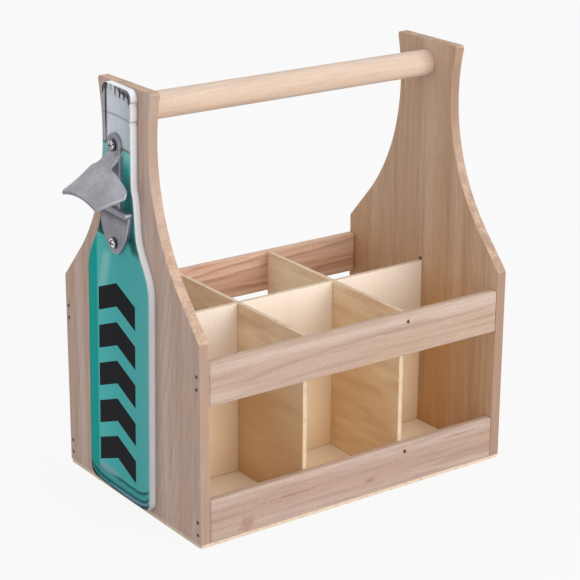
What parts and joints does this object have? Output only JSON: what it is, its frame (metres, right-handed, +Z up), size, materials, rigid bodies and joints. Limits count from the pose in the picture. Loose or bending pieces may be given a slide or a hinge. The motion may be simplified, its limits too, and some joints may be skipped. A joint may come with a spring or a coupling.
{
  "type": "bottle caddy",
  "caption": "Wooden bottle carrier with slatted sides, egg-crate dividers, a dowel handle, and a bottle-shaped plaque with a wall bottle opener on one end.",
  "frame": {"origin": "centre of the crate's footprint, on the underside of the base sheet", "axes": "+X along the handle, away from the end with the opener; +Y towards the back; +Z up"},
  "size_m": [0.3176, 0.186, 0.32],
  "materials": {
    "end_board_wood": "bare, sanded, grain upright",
    "slat_wood": "bare, sanded, grain along the slat",
    "divider_plywood": "bare thin plywood with a pale face veneer",
    "base_plywood": "bare thin plywood",
    "dowel_wood": "bare, sanded smooth",
    "white_board": "white-coated board, satin",
    "printed_face": "printed and laminated, glossy",
    "cast_metal": "tumbled casting, satin grey plating",
    "chrome_screw": "bright plated",
    "zinc_screw": "zinc plated",
    "nail_steel": "dull wire, in dark set holes"
  },
  "bodies": {
    "root": {"base_panel": "base_plywood", "end_board_left": "end_board_wood", "end_board_right": "end_board_wood", "front_upper_rail": "slat_wood", "front_lower_rail": "slat_wood", "back_upper_rail": "slat_wood", "back_lower_rail": "slat_wood", "long_divider": "divider_plywood", "cross_divider_left": "divider_plywood", "cross_divider_right": "divider_plywood", "handle_dowel": "dowel_wood", "handle_screw_left": "zinc_screw", "handle_screw_right": "zinc_screw", "bottle_plaque": "white_board", "plaque_print": "printed_face", "bottle_opener": "cast_metal", "opener_screw_upper": "chrome_screw", "opener_screw_lower": "chrome_screw", "front_upper_rail_nails": "nail_steel", "front_lower_rail_nails": "nail_steel", "back_upper_rail_nails": "nail_steel", "back_lower_rail_nails": "nail_steel", "divider_nails": "nail_steel", "base_nails": "nail_steel"}
  },
  "joints": []
}
